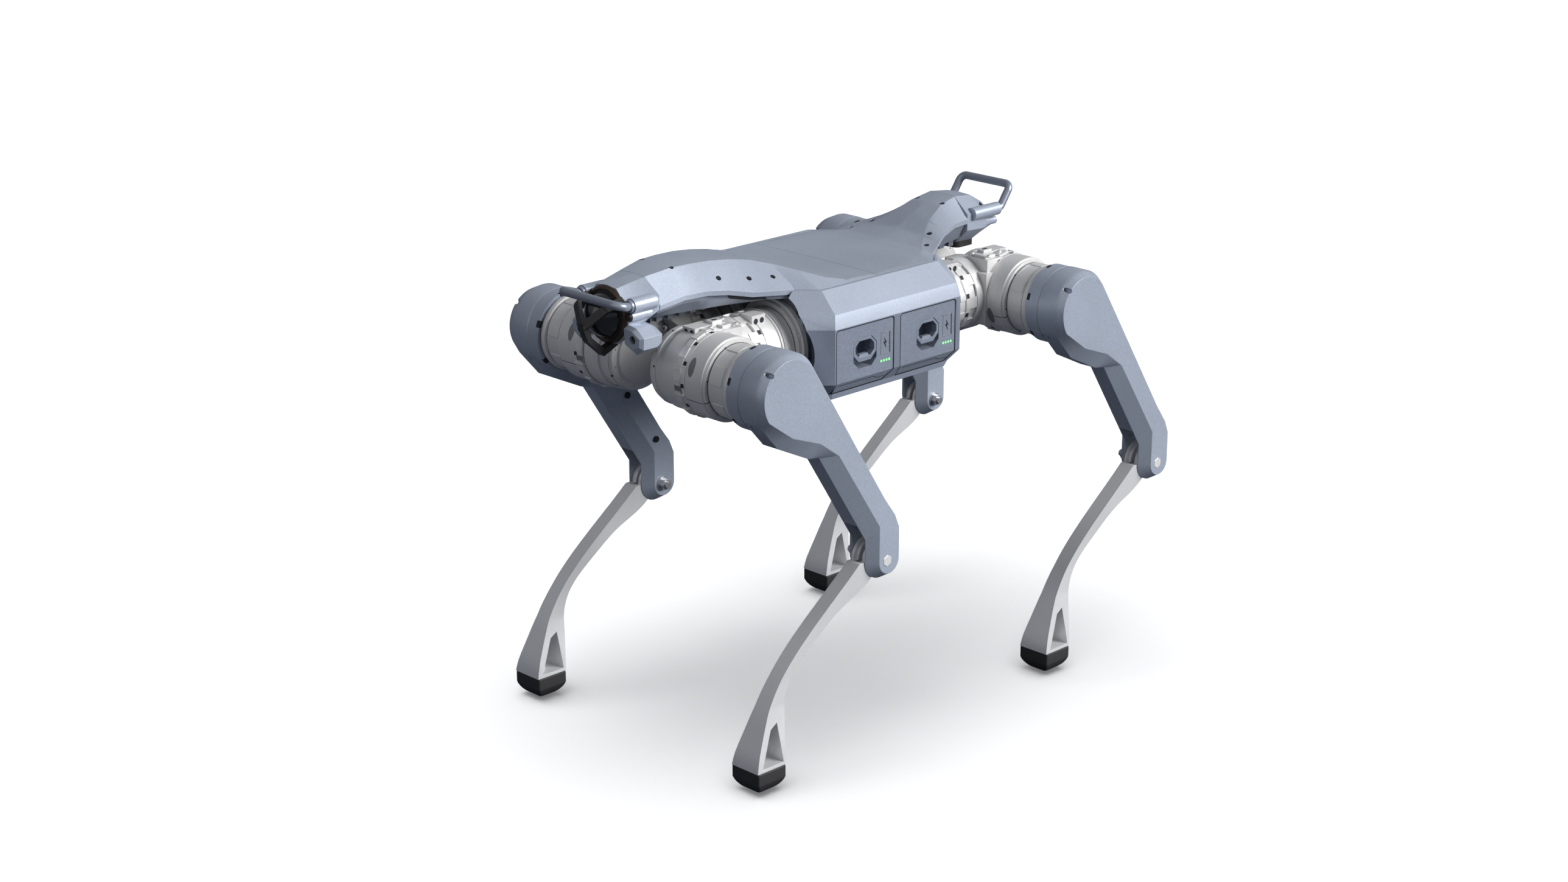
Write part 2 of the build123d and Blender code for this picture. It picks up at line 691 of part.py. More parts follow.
def thigh_outline(housing, knee_end, back, front):
    """Round housing, straight beam and round knee end, as arcs and corner points."""
    return (arc_points(*housing, -35, 150, 2), back, arc_points(*knee_end, 180, 360, 2), front)


def draw_thigh(outline):
    """Draw a thigh outline in the sketch that is being built."""
    upper, back, lower, front = outline
    with BuildLine() as loop:
        ThreePointArc(*upper)
        Polyline(upper[2], *back, lower[0])
        ThreePointArc(*lower)
        Polyline(lower[2], *front, upper[0])
    return make_face(loop.line.edges())


base_outline = thigh_outline(
    ((0, 0), housing_radius), (knee, 24.8),
    [upper_bend, lower_bend, (-185.7, -206.5)],
    [(-136.1, -212.5), (-55.4, -89.0), (-36.9, -85.5), (12.5, -62.1)])
face_outline = thigh_outline(
    ((3.0, 2.0), 43.0), ((knee[0] - 3.5, knee[1]), 17.0),
    [(-155.2, -160.5), (-173.9, -185.5), (-181.2, -202.5)],
    [(-147.4, -194.5), (-76.1, -87.8), (-45.0, -66.0), (0.0, -49.5)])


def thigh_layer(outline, y_from, y_to):
    with BuildSketch(Plane.XZ.offset(-y_from)) as face:
        draw_thigh(outline)
    extrude(face.sketch, amount=y_from - y_to)


def y_taper(near, near_y, far, far_y):
    """Ruled solid between two thigh outlines."""
    sections = []
    for outline, y in ((near, near_y), (far, far_y)):
        with BuildSketch(Plane.XZ.offset(-y)) as section:
            draw_thigh(outline)
        sections.append(section.sketch)
    loft(sections, ruled=True)


def inside_outline(gap):
    """Hollow of the thigh: housing bore and beam channel, clear of the walls."""
    beam = [(-20.0, 36.0), (-158.0, -164.0), (-175.0, -193.0), (-178.0, -209.0),
            (-145.0, -209.0), (-60.0, -84.0), (-12.0, -36.0)]
    return [(x, z) for x, z in beam], housing_radius - gap


def hollow_thigh(y_from, y_to):
    beam, radius = inside_outline(5.0)
    disc_y(0, 0, radius, y_from, y_to, Mode.SUBTRACT)
    prism_y(beam, max(y_from, taper_end_y), y_to, mode=Mode.SUBTRACT)


def knee_slot():
    """Gap between the two cheeks, open to the front, the back and below."""
    low, high = knee[1] - 40, knee[1] + 50
    block((knee[0] - 40, knee[0] + 45), (leg_y - slot_half, leg_y + slot_half), (low, high),
          mode=Mode.SUBTRACT)


def thigh_shell():
    with BuildPart() as shell:
        disc_y(0, 0, housing_radius - 0.6, hub_y, 186.0)
        y_taper(face_outline, inner_face_y, base_outline, taper_end_y)
        thigh_layer(base_outline, taper_end_y, seam_y)
        hollow_thigh(180.0, seam_y + 1)
        knee_slot()
        # spigot inside the knee motor's neck, bored for the crank spindle
        disc_y(0, 0, spigot_radius, 152.0, hub_y + 1)
        disc_y(0, 0, spindle_radius + running_gap, 150.0, 182.0, Mode.SUBTRACT)
        for i in range(6):
            angle = radians(60 * i + 20)
            x, z = 47.5 * cos(angle), 47.5 * sin(angle)
            with Locations(Location((x, hub_y + 1.5, z), (0, -60 * i - 20, 0))):
                Box(8, 5, 9, mode=Mode.SUBTRACT)
        disc_y(*knee, bolt_radius, 170, seam_y + 1, Mode.SUBTRACT)
    return shell.part


def thigh_cover():
    with BuildPart() as cover:
        thigh_layer(base_outline, seam_y, 213.0)
        y_taper(base_outline, 213.0, face_outline, outer_face_y)
        hollow_thigh(seam_y - 1, 209.5)
        knee_slot()
        disc_y(*knee, bolt_radius, seam_y, 224.0, Mode.SUBTRACT)
        # screw recess at the top of the raised face
        disc_y(34.0, 32.0, 3.4, 214, 230, Mode.SUBTRACT)
    return cover.part


def knee_bolt():
    """Shouldered bolt through both cheeks, hexagon head on the inner side."""
    with BuildPart() as bolt:
        disc_y(*knee, bolt_radius, inner_face_y, 224.0)
        disc_y(*knee, 9.5, inner_face_y - 1.6, inner_face_y)
        with BuildSketch(Plane.XZ.offset(-(inner_face_y - 8.5))):
            with Locations(knee):
                RegularPolygon(7.5, 6)
        extrude(amount=-7.0)
        disc_y(*knee, 4.5, inner_face_y - 12.5, inner_face_y - 8.0)
    return bolt.part


def crank_pin(angle=crank_rest):
    """Pin centre from its pivot; the angle counts from the thigh's line to the rear."""
    t = radians(thigh_angle)
    along, across = (-sin(t), -cos(t)), (-cos(t), sin(t))
    c, s = crank_radius * cos(radians(angle)), crank_radius * sin(radians(angle))
    return c * along[0] + s * across[0], c * along[1] + s * across[1]


rod_y = (leg_y - rod_thickness / 2, leg_y + rod_thickness / 2)


def knee_crank():
    with BuildPart() as crank:
        disc_y(0, 0, spindle_radius, 153.0, 192.0)
        disc_y(0, 0, 26.0, 190.0, rod_y[0] - 0.5)
        disc_y(*crank_pin(), rod_pin_radius, 196.0, rod_y[1])
    return crank.part


def knee_rod():
    """Push rod from the crank pin to the lever pin on the calf."""
    pin = crank_pin()
    low = (knee[0] + pin[0], knee[1] + pin[1])
    t = radians(thigh_angle)
    side = (cos(t) * rod_half_width, -sin(t) * rod_half_width)
    bar = [(pin[0] + side[0], pin[1] + side[1]), (pin[0] - side[0], pin[1] - side[1]),
           (low[0] - side[0], low[1] - side[1]), (low[0] + side[0], low[1] + side[1])]
    with BuildPart() as rod:
        prism_y(bar, *rod_y)
        for x, z in (pin, low):
            disc_y(x, z, 5.2, *rod_y)
        disc_y(*pin, rod_pin_radius + running_gap, rod_y[0] - 1, rod_y[1] + 1, Mode.SUBTRACT)
        disc_y(*low, rod_pin_radius + 0.3, rod_y[0] - 1, rod_y[1] + 1, Mode.SUBTRACT)
    return rod.part


bar_half = 10.4
boot_top = ground + 33.0            # where the rubber sole begins
boot_half = 22.5


def calf():
    front = [(-127.9, -241.5), (-109.5, -256.2), (-42.1, -307.7), (6.5, -355.0), (28.0, -388.0),
             (42.0, -418.0), (51.5, -441.0), (55.0, boot_top)]
    rear = [(9.0, boot_top), (5.5, -425.0), (2.7, -401.0), (-2.0, -371.0), (-16.0, -348.0),
            (-51.4, -319.0), (-97.1, -289.6), (-136.0, -272.0), (-150.0, -262.0)]
    with BuildPart() as shin:
        with BuildSketch(Plane.XZ.offset(-(leg_y - boot_half))):
            with BuildLine():
                Spline(*front)
                Line(front[-1], rear[0])
                Spline(*rear)
                Line(rear[-1], knee)
                Line(knee, front[0])
            make_face()
        extrude(amount=-2 * boot_half)
        # slim bar that widens into the boot
        half = [(bar_half, 0), (bar_half, -352), (12.0, -385), (16.5, -415), (21.0, -442),
                (boot_half, boot_top - 1)]
        outline = [(leg_y + y, z) for y, z in half] + [(leg_y - y, z) for y, z in reversed(half)]
        prism_x(outline, -250, 100, mode=Mode.INTERSECT)
        # window through the boot and the boss of the sole's screw
        prism_y([(16, -402), (27, -408), (47, boot_top + 4), (12, boot_top + 4)],
                leg_y - 30, leg_y + 30, mode=Mode.SUBTRACT)
        disc_z(30, leg_y, 4.0, boot_top + 2, boot_top + 10)
        # knee drum, split to let the push rod in
        disc_y(*knee, 21.0, leg_y - bar_half, leg_y + bar_half)
        disc_y(*knee, 26.0, leg_y - bar_half, leg_y - bar_half + 4)
        disc_y(*knee, 27.0, leg_y - rod_thickness / 2 - 0.5, leg_y + rod_thickness / 2 + 0.5,
               Mode.SUBTRACT)
        pin = crank_pin()
        disc_y(knee[0] + pin[0], knee[1] + pin[1], rod_pin_radius, leg_y - 5, leg_y + 5)
        disc_y(*knee, bolt_radius + running_gap, leg_y - 20, leg_y + 20, Mode.SUBTRACT)
    return shin.part


def foot():
    """Rubber sole, rounded both ways so that it rolls on its middle."""
    x0, x1 = 8.8, 54.4
    shoulder = boot_top - 15
    with BuildPart() as sole:
        with BuildSketch(Plane.XZ.offset(-(leg_y - 23.2))):
            with BuildLine():
                Line((x0, shoulder), (x0, boot_top))
                Line((x0, boot_top), (x1, boot_top))
                Line((x1, boot_top), (x1, shoulder))
                ThreePointArc((x1, shoulder), (ankle[0], ground), (x0, shoulder))
            make_face()
        extrude(amount=-46.4)
        with BuildSketch(Plane.YZ.offset(x0 - 1)):
            with BuildLine():
                Line((leg_y - 23.2, shoulder), (leg_y - 23.2, boot_top))
                Line((leg_y - 23.2, boot_top), (leg_y + 23.2, boot_top))
                Line((leg_y + 23.2, boot_top), (leg_y + 23.2, shoulder))
                ThreePointArc((leg_y + 23.2, shoulder), (leg_y, ground), (leg_y - 23.2, shoulder))
            make_face()
        extrude(amount=x1 - x0 + 2, mode=Mode.INTERSECT)
    return sole.part


# ---------------------------------------------------------------- all pieces
def placed(part, corner, turns_round):
    """Move a front left piece to a corner; hip pieces also turn round at the rear."""
    end, side = corners[corner]
    if end < 0 and turns_round:
        part = mirror(part, about=Plane.YZ)
    if side < 0:
        part = mirror(part, about=Plane.XZ)
    return part.moved(Location((mid_x + end * thigh_x, 0, hip_z)))


head_part = head_cap()
tail_part = tail_cap()
trunk_pieces = {
    "trunk_frame": trunk_frame(),
    "battery_housing": battery_housing(),
    "belly_plate": belly_plate(),
    "front_top_cover": top_cover(front_stations, 1),
    "rear_top_cover": top_cover(rear_stations, -1),
    "front_under_cover": under_cover(front_stations, 1, 553.0),
    "rear_under_cover": under_cover(rear_stations, -1, 554.0),
    "head_cap": head_part,
    "tail_cap": tail_part,
    "front_handle": front_handle(),
    "rear_handle": rear_handle(),
    "front_lidar": front_lidar(),
    "rear_lidar": rear_lidar(tail_part),
    "lidar_guard": lidar_guard(head_part),
    "sensor_pods": sensor_pods(head_part),
    "sensor_lenses": sensor_lenses(),
    "hip_motors": hip_motors(),
    "control_computer": control_computer(),
    "cover_screws": cover_screws(),
}
for bay in bay_centres:
    trunk_pieces[f"battery_{bay}"] = battery_pack(bay)
    trunk_pieces[f"latch_{bay}"] = battery_latch(bay)

hip_pieces = {"hip_casting": hip_casting(), "leg_motors": leg_motors()}
leg_pieces = {
    "thigh_shell": thigh_shell(),
    "thigh_cover": thigh_cover(),
    "knee_bolt": knee_bolt(),
    "knee_crank": knee_crank(),
    "knee_rod": knee_rod(),
    "calf": calf(),
    "foot": foot(),
}

if __name__ == "__main__":
    for name, part in trunk_pieces.items():
        save(part, name)
    for corner in corners:
        for name, part in hip_pieces.items():
            save(placed(part, corner, True), f"{name}_{corner}")
        for name, part in leg_pieces.items():
            save(placed(part, corner, False), f"{name}_{corner}")
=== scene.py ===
"""Looks of the four-legged walking robot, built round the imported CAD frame."""
import json
from math import cos, pi, radians, sin

import bmesh
import bpy
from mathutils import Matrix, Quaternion, Vector


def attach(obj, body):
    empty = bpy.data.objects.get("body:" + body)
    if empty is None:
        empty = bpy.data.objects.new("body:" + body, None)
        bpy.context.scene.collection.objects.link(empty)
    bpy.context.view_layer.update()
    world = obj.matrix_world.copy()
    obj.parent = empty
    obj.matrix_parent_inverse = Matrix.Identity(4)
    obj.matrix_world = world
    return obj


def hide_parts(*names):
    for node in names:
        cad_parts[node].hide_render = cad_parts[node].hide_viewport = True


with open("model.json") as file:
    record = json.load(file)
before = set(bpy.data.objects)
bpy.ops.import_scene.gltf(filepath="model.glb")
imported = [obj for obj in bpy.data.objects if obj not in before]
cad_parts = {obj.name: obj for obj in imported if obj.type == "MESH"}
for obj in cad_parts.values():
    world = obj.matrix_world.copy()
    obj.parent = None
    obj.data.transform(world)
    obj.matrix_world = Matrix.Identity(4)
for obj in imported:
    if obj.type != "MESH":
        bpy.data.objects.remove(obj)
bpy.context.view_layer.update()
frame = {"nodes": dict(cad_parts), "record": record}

nodes = frame["nodes"]
node_body = {n: body for body, members in frame["record"]["behaviour"]["bodies"].items() for n in members}
node_slot = {s["node"]: s["material_slot"] for s in frame["record"]["subparts"]}

# ---------------------------------------------------------------- dimensions, in millimetres
MM = 0.001
MID_X = 32.4
HIP_Z = 488.5
THIGH_X = 262.9
HIP_Y = 50.0
SEAM_Y = 197.0
DRUM = 50.0
SIDE_Y = 145.7
GROOVE = 0.35  # half the width of a fine groove
CORNERS = {"fl": (1, 1), "fr": (1, -1), "rl": (-1, 1), "rr": (-1, -1)}


# ---------------------------------------------------------------- materials
def new_material(name):
    material = bpy.data.materials.new(name)
    material.use_nodes = True
    tree = material.node_tree
    return material, tree, tree.nodes["Principled BSDF"]


def noise(tree, coordinates, scale, detail):
    node = tree.nodes.new("ShaderNodeTexNoise")
    node.inputs["Scale"].default_value = scale
    node.inputs["Detail"].default_value = detail
    tree.links.new(coordinates, node.inputs["Vector"])
    return node


def tone_ramp(tree, factor, dark, light, low=0.3, high=0.7):
    ramp = tree.nodes.new("ShaderNodeValToRGB")
    ramp.color_ramp.elements[0].position = low
    ramp.color_ramp.elements[1].position = high
    ramp.color_ramp.elements[0].color = (*dark, 1)
    ramp.color_ramp.elements[1].color = (*light, 1)
    tree.links.new(factor, ramp.inputs["Fac"])
    return ramp


def scaled(colour, factor):
    return tuple(c * factor for c in colour)


def multiplied(tree, first, second):
    """The product of two colour outputs."""
    mix = tree.nodes.new("ShaderNodeMix")
    mix.data_type = "RGBA"
    mix.blend_type = "MULTIPLY"
    mix.inputs[0].default_value = 1.0
    tree.links.new(first, mix.inputs[6])
    tree.links.new(second, mix.inputs[7])
    return mix.outputs[2]


def surface(name, colour, metallic, roughness, grain=900.0, contrast=0.10, bump=0.12,
            rough_spread=0.06, cloud=0.05, coat=0.0):
    """Painted or cast surface: fine grain, slow cloudy variation and an uneven sheen."""
    material, tree, shader = new_material(name)
    place = tree.nodes.new("ShaderNodeTexCoord").outputs["Object"]
    fine = noise(tree, place, grain, 3)
    slow = noise(tree, place, 9.0, 2)
    grained = tone_ramp(tree, fine.outputs["Fac"], scaled(colour, 1 - contrast), scaled(colour, 1 + contrast))
    clouded = tone_ramp(tree, slow.outputs["Fac"], (1 - cloud,) * 3, (1 + cloud,) * 3)
    speckled = multiplied(tree, grained.outputs["Color"], clouded.outputs["Color"])
    tree.links.new(speckled, shader.inputs["Base Color"])
    spread = tree.nodes.new("ShaderNodeMapRange")
    spread.inputs["To Min"].default_value = roughness - rough_spread
    spread.inputs["To Max"].default_value = roughness + rough_spread
    tree.links.new(fine.outputs["Fac"], spread.inputs["Value"])
    tree.links.new(spread.outputs["Result"], shader.inputs["Roughness"])
    relief = tree.nodes.new("ShaderNodeBump")
    relief.inputs["Strength"].default_value = bump
    relief.inputs["Distance"].default_value = 0.0004
    tree.links.new(fine.outputs["Fac"], relief.inputs["Height"])
    tree.links.new(relief.outputs["Normal"], shader.inputs["Normal"])
    shader.inputs["Metallic"].default_value = metallic
    shader.inputs["Coat Weight"].default_value = coat
    shader.inputs["Coat Roughness"].default_value = 0.25
    return material


def glowing(name, colour, strength):
    material = surface(name, colour, 0.0, 0.4, contrast=0.15)
    shader = material.node_tree.nodes["Principled BSDF"]
    shader.inputs["Emission Color"].default_value = (*colour, 1)
    shader.inputs["Emission Strength"].default_value = strength
    return material


CASING_PAINT = {"colour": (0.385, 0.43, 0.51), "metallic": 0.32, "roughness": 0.37, "contrast": 0.13}
FINISH = {
    "casing_blue_grey": surface("casing_blue_grey", **CASING_PAINT),
    "battery_slate": surface("battery_slate", (0.215, 0.245, 0.305), 0.30, 0.44, grain=700, contrast=0.16),
    "cast_silver": surface("cast_silver", (0.66, 0.655, 0.65), 0.25, 0.40, grain=1100, contrast=0.07),
    "shin_silver": surface("shin_silver", (0.76, 0.765, 0.77), 0.45, 0.36, grain=1300, contrast=0.08),
    "frame_grey": surface("frame_grey", (0.15, 0.165, 0.20), 0.40, 0.45),
    "tube_grey": surface("tube_grey", (0.27, 0.30, 0.36), 0.45, 0.34),
    "rubber_black": surface("rubber_black", (0.018, 0.018, 0.019), 0.0, 0.62, grain=1500, contrast=0.3,
                            bump=0.25),
    "black_plastic": surface("black_plastic", (0.022, 0.021, 0.021), 0.1, 0.42, contrast=0.25),
    "black_window": surface("black_window", (0.006, 0.006, 0.007), 0.0, 0.10, contrast=0.2, bump=0.01,
                            rough_spread=0.02, coat=1.0),
    "black_screw": surface("black_screw", (0.014, 0.015, 0.02), 0.5, 0.40, contrast=0.2),
    "steel": surface("steel", (0.55, 0.56, 0.58), 0.85, 0.33, grain=1600, contrast=0.08),
}
CHARGE_GREEN = glowing("charge_green", (0.16, 0.85, 0.18), 1.6)
# black for gaps, grooves, vents and the printed flash, and painted shade where it fills holes and screw
# sockets
GAP_BLACK = surface("gap_black", (0.01, 0.011, 0.016), 0.0, 0.7, contrast=0.3)
# grey for the raised charge rims, and painted shade for the recesses in the motor drums
RIM_GREY_AND_RECESS_SHADE = surface("rim_grey_and_recess_shade", (0.20, 0.205, 0.215), 0.30, 0.42, contrast=0.12)
# darker blue for the under covers: painted shade on their undersides
PAINTED_SHADE_BLUE = surface("painted_shade_blue", (0.20, 0.225, 0.275), 0.35, 0.40)
RING_BRONZE = surface("ring_bronze", (0.10, 0.075, 0.055), 0.8, 0.30, contrast=0.12)


def darkened_below(material, height, factor):
    """Scale a material's colour below a height; on the fixed trunk the object's own Z is the height."""
    tree = material.node_tree
    shader = tree.nodes["Principled BSDF"]
    colour = shader.inputs["Base Color"].links[0].from_socket
    split = tree.nodes.new("ShaderNodeSeparateXYZ")
    tree.links.new(tree.nodes.new("ShaderNodeTexCoord").outputs["Object"], split.inputs["Vector"])
    border = tree.nodes.new("ShaderNodeMapRange")
    border.inputs["From Min"].default_value = (height - 0.15) * MM
    border.inputs["From Max"].default_value = (height + 0.15) * MM
    tree.links.new(split.outputs["Z"], border.inputs["Value"])
    shade = tone_ramp(tree, border.outputs["Result"], factor, (1, 1, 1), 0.0, 1.0)
    tree.links.new(multiplied(tree, colour, shade.outputs["Color"]), shader.inputs["Base Color"])


# the casing is as dark as the battery packs up to the foot of its slope
CASING_TONE_Z = 521.5
CASING_TWO_TONE = surface("casing_two_tone", **CASING_PAINT)
darkened_below(CASING_TWO_TONE, CASING_TONE_Z, (0.54, 0.55, 0.58))


# ---------------------------------------------------------------- mesh helpers
def link_piece(name, mesh, body, slot, material=None):
    piece = bpy.data.objects.new(name, mesh)
    bpy.context.scene.collection.objects.link(piece)
    mesh.materials.clear()
    mesh.materials.append(material or FINISH[slot])
    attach(piece, body)
    return piece


def shade_smooth(mesh):
    for polygon in mesh.polygons:
        polygon.use_smooth = True


def round_edges(piece, width, segments=2):
    bevel = piece.modifiers.new("rounded edges", "BEVEL")
    bevel.width = width * MM
    bevel.segments = segments
    bevel.limit_method = "WEIGHT"
    bevel.miter_outer = "MITER_ARC"
    normals = piece.modifiers.new("even normals", "WEIGHTED_NORMAL")
    normals.keep_sharp = True


def weigh_edges(work, angle, keep_crisp=None):
    """Mark the edges that get rounded; keep_crisp(edge) leaves one nearly sharp."""
    weight = work.edges.layers.float.new("bevel_weight_edge")
    for edge in work.edges:
        if len(edge.link_faces) != 2 or edge.calc_face_angle(0) < radians(angle):
            continue
        crisp = keep_crisp is not None and keep_crisp(edge)
        edge[weight] = 0.12 if crisp else 1.0


def welded_mesh(node, angle, keep_crisp):
    """The CAD node's shape as one welded mesh, with flat faces merged."""
    work = bmesh.new()
    work.from_mesh(nodes[node].data)
    bmesh.ops.remove_doubles(work, verts=work.verts, dist=2e-6)
    bmesh.ops.dissolve_limit(work, angle_limit=radians(0.5), verts=work.verts, edges=work.edges)
    weigh_edges(work, angle, keep_crisp)
    mesh = bpy.data.meshes.new(node + "_finished")
    work.to_mesh(mesh)
    work.free()
    if "custom_normal" in mesh.attributes:
        mesh.attributes.remove(mesh.attributes["custom_normal"])
    shade_smooth(mesh)
    return mesh


def on_seam(edge):
    """True where the two halves of a thigh meet."""
    return all(abs(abs(v.co.y) - SEAM_Y * MM) < 1e-5 for v in edge.verts)


def finished(node, width, angle=30, segments=2, keep_crisp=None):
    """The node's own shape with rounded edges and its finish."""
    mesh = welded_mesh(node, angle, keep_crisp)
    piece = link_piece(node + "_finished", mesh, node_body[node], node_slot[node])
    round_edges(piece, width, segments)
    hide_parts(node)
    return piece


EDGE_WIDTHS = {
    "battery_housing": 1.6, "front_top_cover": 1.2, "rear_top_cover": 1.2, "front_under_cover": 1.0,
    "rear_under_cover": 1.0, "head_cap": 2.2, "tail_cap": 2.2, "battery_front": 1.0, "battery_rear": 1.0,
    "latch_front": 0.7, "latch_rear": 0.7, "hip_motors": 0.8, "sensor_pods": 1.4, "lidar_guard": 1.2,
    "trunk_frame": 0.5, "front_lidar": 0.3, "rear_lidar": 0.5,
}
LEG_EDGE_WIDTHS = {"thigh_shell": 2.2, "thigh_cover": 2.2, "calf": 1.6, "foot": 2.0, "knee_bolt": 0.5,
                   "hip_casting": 0.8, "leg_motors": 0.8}
for node, width in EDGE_WIDTHS.items():
    finished(node, width)
# the under covers take a darker blue, which paints in the shade beneath the trunk
for node in ("front_under_cover", "rear_under_cover"):
    bpy.data.objects[node + "_finished"].data.materials[0] = PAINTED_SHADE_BLUE
bpy.data.objects["battery_housing_finished"].data.materials[0] = CASING_TWO_TONE
for corner in CORNERS:
    for name, width in LEG_EDGE_WIDTHS.items():
        finished(f"{name}_{corner}", width, keep_crisp=on_seam)


def painted(node):
    """Give a CAD node its finish and leave its shape alone."""
    nodes[node].data.materials.clear()
    nodes[node].data.materials.append(FINISH[node_slot[node]])


# parts that are hidden, or whose CAD shape already looks right
for node in ("belly_plate", "front_handle", "rear_handle", "sensor_lenses", "control_computer",
             "cover_screws"):
    painted(node)
for corner in CORNERS:
    painted("knee_crank_" + corner)
    painted("knee_rod_" + corner)


# ---------------------------------------------------------------- small parts
class Kit:
    """Collects small shapes, in millimetres, that become one piece."""

    def __init__(self):
        self.mesh = bmesh.new()

    def skin(self, rows, closed_rows=True, cap=True):
        """Faces between rows of points that have equal counts."""
        rings = [[self.mesh.verts.new(p) for p in row] for row in rows]
        count = len(rings[0])
        last = count if closed_rows else count - 1
        for low, high in zip(rings, rings[1:]):
            for i in range(last):
                j = (i + 1) % count
                self.mesh.faces.new((low[i], low[j], high[j], high[i]))
        if cap:
            self.mesh.faces.new(list(reversed(rings[0])))
            self.mesh.faces.new(rings[-1])

    def slab(self, outline, thickness):
        """A flat outline of 3-D points, thickened along the vector given."""
        push = Vector(thickness)
        base = [Vector(p) for p in outline]
        self.skin([base, [p + push for p in base]])

    def box(self, x_span, y_span, z_span):
        (x0, x1), (y0, y1), (z0, z1) = sorted(x_span), sorted(y_span), sorted(z_span)
        self.slab([(x0, y0, z0), (x1, y0, z0), (x1, y1, z0), (x0, y1, z0)], (0, 0, z1 - z0))

    def turned(self, centre, axis, profile, sides=40, phase=0.0):
        """Rings of (distance along the axis, radius) about an axis through centre."""
        axis = Vector(axis).normalized()
        across = axis.orthogonal().normalized()
        up = axis.cross(across)
        centre = Vector(centre)
        rows = []
        for along, radius in profile:
            middle = centre + axis * along
            rows.append([middle + (across * cos(phase + 2 * pi * i / sides)
                                   + up * sin(phase + 2 * pi * i / sides)) * radius
                         for i in range(sides)])
        self.skin(rows)

    def hoop(self, centre, axis, profile, sides=48):
        """Closed ring section of (along, radius) points, turned about an axis."""
        axis = Vector(axis).normalized()
        across = axis.orthogonal().normalized()
        up = axis.cross(across)
        centre = Vector(centre)
        rows = []
        for i in range(sides):
            turn = 2 * pi * i / sides
            out = across * cos(turn) + up * sin(turn)
            rows.append([centre + axis * along + out * radius for along, radius in profile])
        self.skin(rows + [rows[0]], cap=False)

    def drum_patch(self, axis, centre, span, turn, spread, low, high, steps=6, oval=False):
        """Raised or sunk patch on a drum: span along the axis, spread in degrees about it.

        The drum's axis is "x" or "y"; turn 0 points along the other level axis, 90 up.
        """
        a0, a1 = span
        rows = []
        for i in range(steps + 1):
            share = i / steps
            angle = radians(turn - spread / 2 + spread * share)
            half = (a1 - a0) / 2
            if oval:
                half *= max(0.12, sin(pi * share) ** 0.5)
            middle = (a0 + a1) / 2
            row = []
            for along, radius in ((middle - half, low), (middle + half, low), (middle + half, high),
                                  (middle - half, high)):
                level, up = radius * cos(angle), radius * sin(angle)
                if axis == "y":
                    row.append((centre[0] + level, along, centre[1] + up))
                else:
                    row.append((along, centre[0] + level, centre[1] + up))
            rows.append(row)
        self.skin(rows)

    def piece(self, name, body, slot, material=None, bevel=0.0, corner=None, turns_round=True):
        """Finish the piece; with a corner given its points count from the front left thigh axis."""
        if corner:
            end, side = CORNERS[corner]
            flip = -1 if end < 0 and turns_round else 1
            for vertex in self.mesh.verts:
                x, y, z = vertex.co
                vertex.co = (MID_X + end * THIGH_X + flip * x, side * y, HIP_Z + z)
        for vertex in self.mesh.verts:
            vertex.co *= MM
        bmesh.ops.remove_doubles(self.mesh, verts=self.mesh.verts, dist=1e-6)
        bmesh.ops.recalc_face_normals(self.mesh, faces=self.mesh.faces)
        weigh_edges(self.mesh, 35)
        mesh = bpy.data.meshes.new(name)
        self.mesh.to_mesh(mesh)
        self.mesh.free()
        shade_smooth(mesh)
        piece = link_piece(name, mesh, body, slot, material)
        round_edges(piece, bevel or 0.05, 2 if bevel else 1)
        return piece


def band(low, high, inner, outer):
    """Profile of a flat band between two places along an axis, for Kit.hoop."""
    return [(low, inner), (low, outer), (high, outer), (high, inner)]


def screw_head(kit_ring, kit_hole, centre, axis, radius):
    """Socket screw: a low button with a hexagon hole, the hole a thin black disc of painted shade."""
    kit_ring.turned(centre, axis, [(0, radius), (0.5 * radius, radius), (0.8 * radius, 0.7 * radius)], 20)
    kit_hole.turned(Vector(centre) + Vector(axis) * (0.8 * radius), axis,
                    [(0.0, 0.42 * radius), (0.08 * radius, 0.42 * radius)], 6)


# ---------------------------------------------------------------- leg motors and cradles
BAND = 51.6  # radius of the toothed band
NECK = 45.0  # radius of the neck by the thigh
FLANGE_SCREWS = 44.8  # radius of the ring of screws on the flange
INNER_SCREWS = 47.2  # radius of the small screws at the drum's end by the trunk


def on_ring(radius, y, turn):
    """A point at turn degrees on a circle about the thigh axis."""
    return radius * cos(radians(turn)), y, radius * sin(radians(turn))


